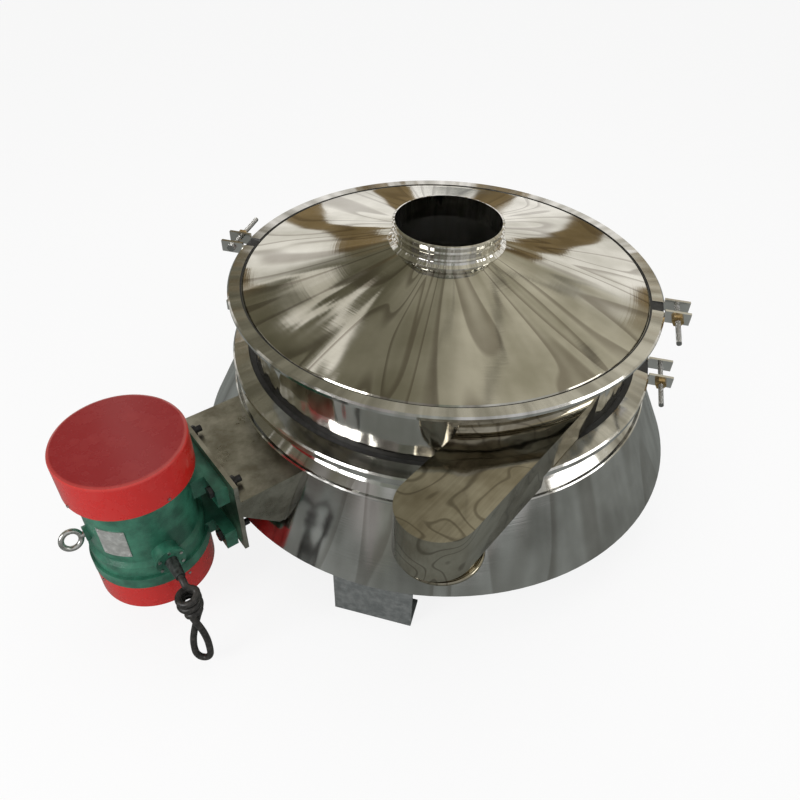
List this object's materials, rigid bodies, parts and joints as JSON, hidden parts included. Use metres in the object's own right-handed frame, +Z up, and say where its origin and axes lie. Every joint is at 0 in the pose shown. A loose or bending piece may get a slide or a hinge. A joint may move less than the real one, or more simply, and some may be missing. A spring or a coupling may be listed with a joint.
{
  "type": "vibrating sieve",
  "caption": "Round low-profile vibrating sieve with a domed dust cover, side discharge spout, clamped screen drum, conical skirt base and a vertical vibration motor on a side bracket.",
  "frame": {"origin": "the drum's axis on the floor, at the centre of the feet's anchor holes", "axes": "+Z up along the drum's axis; -Y points at the coarse outlet; the motor stands toward -X and -Y"},
  "size_m": [1.419, 1.4045, 0.743],
  "materials": {
    "mirror_steel": "mirror polished stainless sheet",
    "satin_steel": "brushed stainless plate",
    "foot_paint": "matt grey paint",
    "buffer_rubber": "matt black rubber",
    "seal_rubber": "black silicone seal",
    "zinc_steel": "zinc plated fastener",
    "black_steel": "black oxide fastener",
    "brass_nut": "satin brass",
    "red_paint": "gloss red paint",
    "green_paint": "green hammered paint on cast iron",
    "bare_iron": "machined cast iron",
    "core_steel": "laminated steel",
    "copper": "enamelled copper windings",
    "bearing_steel": "ground bearing steel",
    "black_plastic": "black plastic",
    "cord_rubber": "black rubber cord"
  },
  "bodies": {
    "support": {"support_rail": "foot_paint", "foot_front": "foot_paint", "foot_right": "foot_paint", "foot_back": "foot_paint", "foot_left": "foot_paint", "rubber_buffers": "buffer_rubber", "lower_buffer_studs": "zinc_steel", "lower_buffer_nuts": "zinc_steel"},
    "sieve": {"base_ring": "satin_steel", "base_skirt": "mirror_steel", "bearing_outer_races": "bearing_steel", "bottom_cover": "red_paint", "bottom_end_shield": "bare_iron", "cable_gland": "black_plastic", "cord_hank": "cord_rubber", "cover_screws": "red_paint", "cover_seal": "seal_rubber", "discharge_spout": "mirror_steel", "dust_cover": "mirror_steel", "eye_bolt": "zinc_steel", "fines_hopper": "satin_steel", "gland_cover": "green_paint", "inlet_collar": "mirror_steel", "motor_bolts": "black_steel", "motor_bracket": "satin_steel", "motor_frame": "green_paint", "motor_nuts": "black_steel", "motor_plate": "satin_steel", "motor_washers": "black_steel", "power_cord": "cord_rubber", "screen_drum": "mirror_steel", "screen_mesh": "satin_steel", "screen_ring": "satin_steel", "screen_seal": "seal_rubber", "stator_core": "core_steel", "stator_windings": "copper", "top_cover": "red_paint", "top_end_shield": "bare_iron", "upper_buffer_nuts": "zinc_steel", "upper_buffer_studs": "zinc_steel"},
    "rotor": {"rotor_shaft": "core_steel", "rotor_core": "core_steel", "fixed_weights": "bare_iron", "bearing_inner_races": "bearing_steel", "bearing_rollers": "bearing_steel"},
    "upper_weight": {"upper_turning_weight": "bare_iron"},
    "lower_weight": {"lower_turning_weight": "bare_iron"},
    "upper_front_clamp": {"upper_clamp_front": "mirror_steel", "upper_bolt_front": "zinc_steel", "upper_nut_front": "brass_nut"},
    "upper_back_clamp": {"upper_clamp_back": "mirror_steel", "upper_bolt_back": "zinc_steel", "upper_nut_back": "brass_nut"},
    "lower_front_clamp": {"lower_clamp_front": "mirror_steel", "lower_bolt_front": "zinc_steel", "lower_nut_front": "brass_nut"},
    "lower_back_clamp": {"lower_clamp_back": "mirror_steel", "lower_bolt_back": "zinc_steel", "lower_nut_back": "brass_nut"}
  },
  "joints": [
    {"name": "sieve_float", "type": "slide", "parent": "support", "child": "sieve", "axis": [0, 0, 1], "range_m": [-0.006, 0.006], "stiffness_N_per_m": 240000, "springref_m": 0.01056, "deforming": ["rubber_buffers"]},
    {"name": "rotor_spin", "type": "hinge", "parent": "sieve", "child": "rotor", "pos_m": [-0.6442, -0.55606, 0.313], "axis": [0, 0, 1], "continuous": true},
    {"name": "upper_weight_set", "type": "hinge", "parent": "rotor", "child": "upper_weight", "pos_m": [-0.6442, -0.55606, 0.463], "axis": [0, 0, 1], "range_deg": [0, 180]},
    {"name": "lower_weight_set", "type": "hinge", "parent": "rotor", "child": "lower_weight", "pos_m": [-0.6442, -0.55606, 0.149], "axis": [0, 0, 1], "range_deg": [0, 180]},
    {"name": "upper_back_release", "type": "slide", "parent": "sieve", "child": "upper_back_clamp", "axis": [0.1994, 0.9799, 0], "range_m": [0, 0.02]},
    {"name": "upper_front_release", "type": "slide", "parent": "sieve", "child": "upper_front_clamp", "axis": [-0.1994, -0.9799, 0], "range_m": [0, 0.02]},
    {"name": "lower_back_release", "type": "slide", "parent": "sieve", "child": "lower_back_clamp", "axis": [0.1994, 0.9799, 0], "range_m": [0, 0.02]},
    {"name": "lower_front_release", "type": "slide", "parent": "sieve", "child": "lower_front_clamp", "axis": [-0.1994, -0.9799, 0], "range_m": [0, 0.02]}
  ]
}
